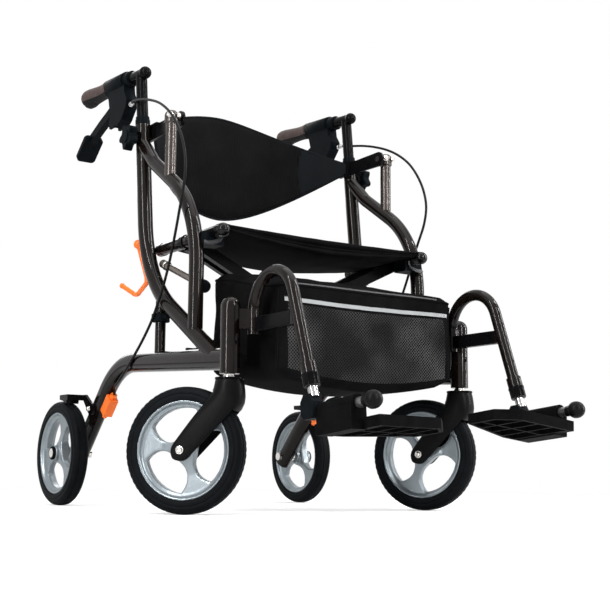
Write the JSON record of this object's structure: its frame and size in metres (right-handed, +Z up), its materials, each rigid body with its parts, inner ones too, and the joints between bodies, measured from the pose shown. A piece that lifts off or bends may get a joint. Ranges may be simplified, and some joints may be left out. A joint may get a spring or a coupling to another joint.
{
  "type": "rollator transport chair",
  "caption": "Folding rollator and transport chair with a sling seat, bowed flip-over backrest, hand brakes, swivel casters, under-seat bag and swing-away footrests.",
  "frame": {"origin": "floor under the plan centre of the whole chair at rest", "axes": "+X to the sitter's left, +Y to the back of the chair where the hand grips are, +Z up from the floor"},
  "size_m": [0.6683, 1.0111, 0.86],
  "materials": {
    "bronze": "gloss",
    "black_metal": "satin",
    "black_plastic": "satin",
    "rim_grey": "satin",
    "tyre_black": "matte",
    "grip_taupe": "matte",
    "orange_plastic": "satin",
    "black_fabric": "matte",
    "leg_chrome": "gloss",
    "cable_black": "satin"
  },
  "bodies": {
    "right_frame": {"right_main_tube": "bronze", "right_loop_tube": "bronze", "right_lower_rail": "bronze", "right_back_post": "bronze", "right_pole_collar": "black_plastic", "right_seat_saddle": "black_plastic", "right_rear_axle": "black_metal", "right_adjuster": "orange_plastic", "right_brake_cable": "cable_black", "storage_bag": "black_fabric", "strap_hook": "orange_plastic"},
    "right_handle": {"right_handle_pole": "black_metal", "right_grip": "grip_taupe", "right_brake_housing": "black_plastic"},
    "right_lever": {"right_brake_lever": "black_plastic"},
    "right_knob": {"right_height_knob": "black_plastic"},
    "right_back": {"right_back_bracket": "black_metal", "back_sling": "black_fabric"},
    "right_fork": {"right_caster_fork": "black_metal"},
    "right_caster_wheel": {"right_caster_rim": "rim_grey", "right_caster_tyre": "tyre_black"},
    "right_rear_wheel": {"right_rear_rim": "rim_grey", "right_rear_tyre": "tyre_black"},
    "right_brake": {"right_brake_arm": "black_metal"},
    "right_swing_hanger": {"right_hanger": "bronze"},
    "right_lower_leg": {"right_foot_tube": "leg_chrome"},
    "right_plate": {"right_footplate": "black_plastic"},
    "left_frame": {"left_main_tube": "bronze", "left_loop_tube": "bronze", "left_lower_rail": "bronze", "left_back_post": "bronze", "left_pole_collar": "black_plastic", "left_seat_saddle": "black_plastic", "left_rear_axle": "black_metal", "left_adjuster": "orange_plastic", "left_brake_cable": "cable_black"},
    "left_handle": {"left_handle_pole": "black_metal", "left_grip": "grip_taupe", "left_brake_housing": "black_plastic"},
    "left_lever": {"left_brake_lever": "black_plastic"},
    "left_knob": {"left_height_knob": "black_plastic"},
    "left_back": {"left_back_bracket": "black_metal"},
    "left_fork": {"left_caster_fork": "black_metal"},
    "left_caster_wheel": {"left_caster_rim": "rim_grey", "left_caster_tyre": "tyre_black"},
    "left_rear_wheel": {"left_rear_rim": "rim_grey", "left_rear_tyre": "tyre_black"},
    "left_brake": {"left_brake_arm": "black_metal"},
    "left_swing_hanger": {"left_hanger": "bronze"},
    "left_lower_leg": {"left_foot_tube": "leg_chrome"},
    "left_plate": {"left_footplate": "black_plastic"},
    "arm_a": {"cross_arm_a": "black_metal", "left_seat_rail": "black_metal"},
    "arm_b": {"cross_arm_b": "black_metal", "right_seat_rail": "black_metal", "seat_sling": "black_fabric"}
  },
  "joints": [
    {"name": "fold", "type": "hinge", "parent": "right_frame", "child": "arm_a", "pos_m": [-0.1799, 0.0204, 0.266], "axis": [0, -1, 0], "range_deg": [0, 45], "deforming": ["seat_sling", "back_sling", "storage_bag"]},
    {"name": "fold_center", "type": "hinge", "parent": "arm_a", "child": "arm_b", "pos_m": [0.0261, 0.0204, 0.36694], "axis": [0, -1, 0], "range_deg": [-90, 0], "deforming": ["seat_sling", "back_sling", "storage_bag"]},
    {"name": "fold_left", "type": "hinge", "parent": "arm_b", "child": "left_frame", "pos_m": [0.2321, 0.0204, 0.266], "axis": [0, -1, 0], "range_deg": [0, 45], "deforming": ["seat_sling", "back_sling", "storage_bag"]},
    {"name": "right_swivel", "type": "hinge", "parent": "right_frame", "child": "right_fork", "pos_m": [-0.2189, -0.1736, 0.22], "axis": [0, 0, 1], "continuous": true},
    {"name": "right_caster_roll", "type": "hinge", "parent": "right_fork", "child": "right_caster_wheel", "pos_m": [-0.26384, -0.11607, 0.1016], "axis": [0.788, 0.6157, 0], "continuous": true},
    {"name": "right_rear_roll", "type": "hinge", "parent": "right_frame", "child": "right_rear_wheel", "pos_m": [-0.2589, 0.404, 0.1016], "axis": [1, 0, 0], "continuous": true},
    {"name": "right_handle_height", "type": "slide", "parent": "right_frame", "child": "right_handle", "axis": [0, 0.1162, 0.9932], "range_m": [0, 0.1], "deforming": ["right_brake_cable"]},
    {"name": "right_height_knob_turn", "type": "hinge", "parent": "right_frame", "child": "right_knob", "pos_m": [-0.2189, 0.16286, 0.69], "axis": [1, 0, 0], "continuous": true},
    {"name": "right_lever_squeeze", "type": "hinge", "parent": "right_handle", "child": "right_lever", "pos_m": [-0.2189, 0.2764, 0.79], "axis": [1, 0, 0], "range_deg": [0, 16], "stiffness_Nm_per_rad": 1.2, "springref_deg": -20.05},
    {"name": "right_brake_press", "type": "hinge", "parent": "right_frame", "child": "right_brake", "pos_m": [-0.2189, 0.3204, 0.186], "axis": [1, 0, 0], "range_deg": [-2.24, 0]},
    {"name": "right_hanger_swing", "type": "hinge", "parent": "right_frame", "child": "right_swing_hanger", "pos_m": [-0.2189, -0.1736, 0.29], "axis": [0, 0, -1], "range_deg": [0, 90]},
    {"name": "right_leg_length", "type": "slide", "parent": "right_swing_hanger", "child": "right_lower_leg", "axis": [0, -0.3322, -0.9432], "range_m": [0, 0.06]},
    {"name": "right_plate_flip", "type": "hinge", "parent": "right_lower_leg", "child": "right_plate", "pos_m": [-0.1769, -0.3616, 0.1564], "axis": [0, -0.9954, 0.0958], "range_deg": [0, 90]},
    {"name": "left_swivel", "type": "hinge", "parent": "left_frame", "child": "left_fork", "pos_m": [0.2711, -0.1736, 0.22], "axis": [0, 0, 1], "continuous": true},
    {"name": "left_caster_roll", "type": "hinge", "parent": "left_fork", "child": "left_caster_wheel", "pos_m": [0.24258, -0.1064, 0.1016], "axis": [0.9205, 0.3907, 0], "continuous": true},
    {"name": "left_rear_roll", "type": "hinge", "parent": "left_frame", "child": "left_rear_wheel", "pos_m": [0.3111, 0.404, 0.1016], "axis": [1, 0, 0], "continuous": true},
    {"name": "left_handle_height", "type": "slide", "parent": "left_frame", "child": "left_handle", "axis": [0, 0.1162, 0.9932], "range_m": [0, 0.1], "deforming": ["left_brake_cable"]},
    {"name": "left_height_knob_turn", "type": "hinge", "parent": "left_frame", "child": "left_knob", "pos_m": [0.2711, 0.16286, 0.69], "axis": [1, 0, 0], "continuous": true},
    {"name": "left_lever_squeeze", "type": "hinge", "parent": "left_handle", "child": "left_lever", "pos_m": [0.2711, 0.2764, 0.79], "axis": [1, 0, 0], "range_deg": [0, 16], "stiffness_Nm_per_rad": 1.2, "springref_deg": -20.05},
    {"name": "left_brake_press", "type": "hinge", "parent": "left_frame", "child": "left_brake", "pos_m": [0.2711, 0.3204, 0.186], "axis": [1, 0, 0], "range_deg": [-2.24, 0]},
    {"name": "left_hanger_swing", "type": "hinge", "parent": "left_frame", "child": "left_swing_hanger", "pos_m": [0.2711, -0.1736, 0.29], "axis": [0, 0, 1], "range_deg": [0, 90]},
    {"name": "left_leg_length", "type": "slide", "parent": "left_swing_hanger", "child": "left_lower_leg", "axis": [0, -0.3322, -0.9432], "range_m": [0, 0.06]},
    {"name": "left_plate_flip", "type": "hinge", "parent": "left_lower_leg", "child": "left_plate", "pos_m": [0.2291, -0.3616, 0.1564], "axis": [0, 0.9954, -0.0958], "range_deg": [0, 90]},
    {"name": "right_backrest_flip", "type": "hinge", "parent": "right_frame", "child": "right_back", "pos_m": [-0.2039, 0.0444, 0.703], "axis": [1, 0, 0], "range_deg": [0, 175]},
    {"name": "left_backrest_flip", "type": "hinge", "parent": "left_frame", "child": "left_back", "pos_m": [0.2561, 0.0444, 0.703], "axis": [1, 0, 0], "range_deg": [0, 175]}
  ],
  "couplings": [
    {"joint": "fold_center", "follows": "fold", "ratio": -2},
    {"joint": "fold_left", "follows": "fold", "ratio": 1},
    {"joint": "right_brake_press", "follows": "right_lever_squeeze", "ratio": -0.14},
    {"joint": "right_plate_flip", "follows": "fold", "ratio": 2},
    {"joint": "left_brake_press", "follows": "left_lever_squeeze", "ratio": -0.14},
    {"joint": "left_plate_flip", "follows": "fold", "ratio": 2},
    {"joint": "left_backrest_flip", "follows": "right_backrest_flip", "ratio": 1}
  ]
}
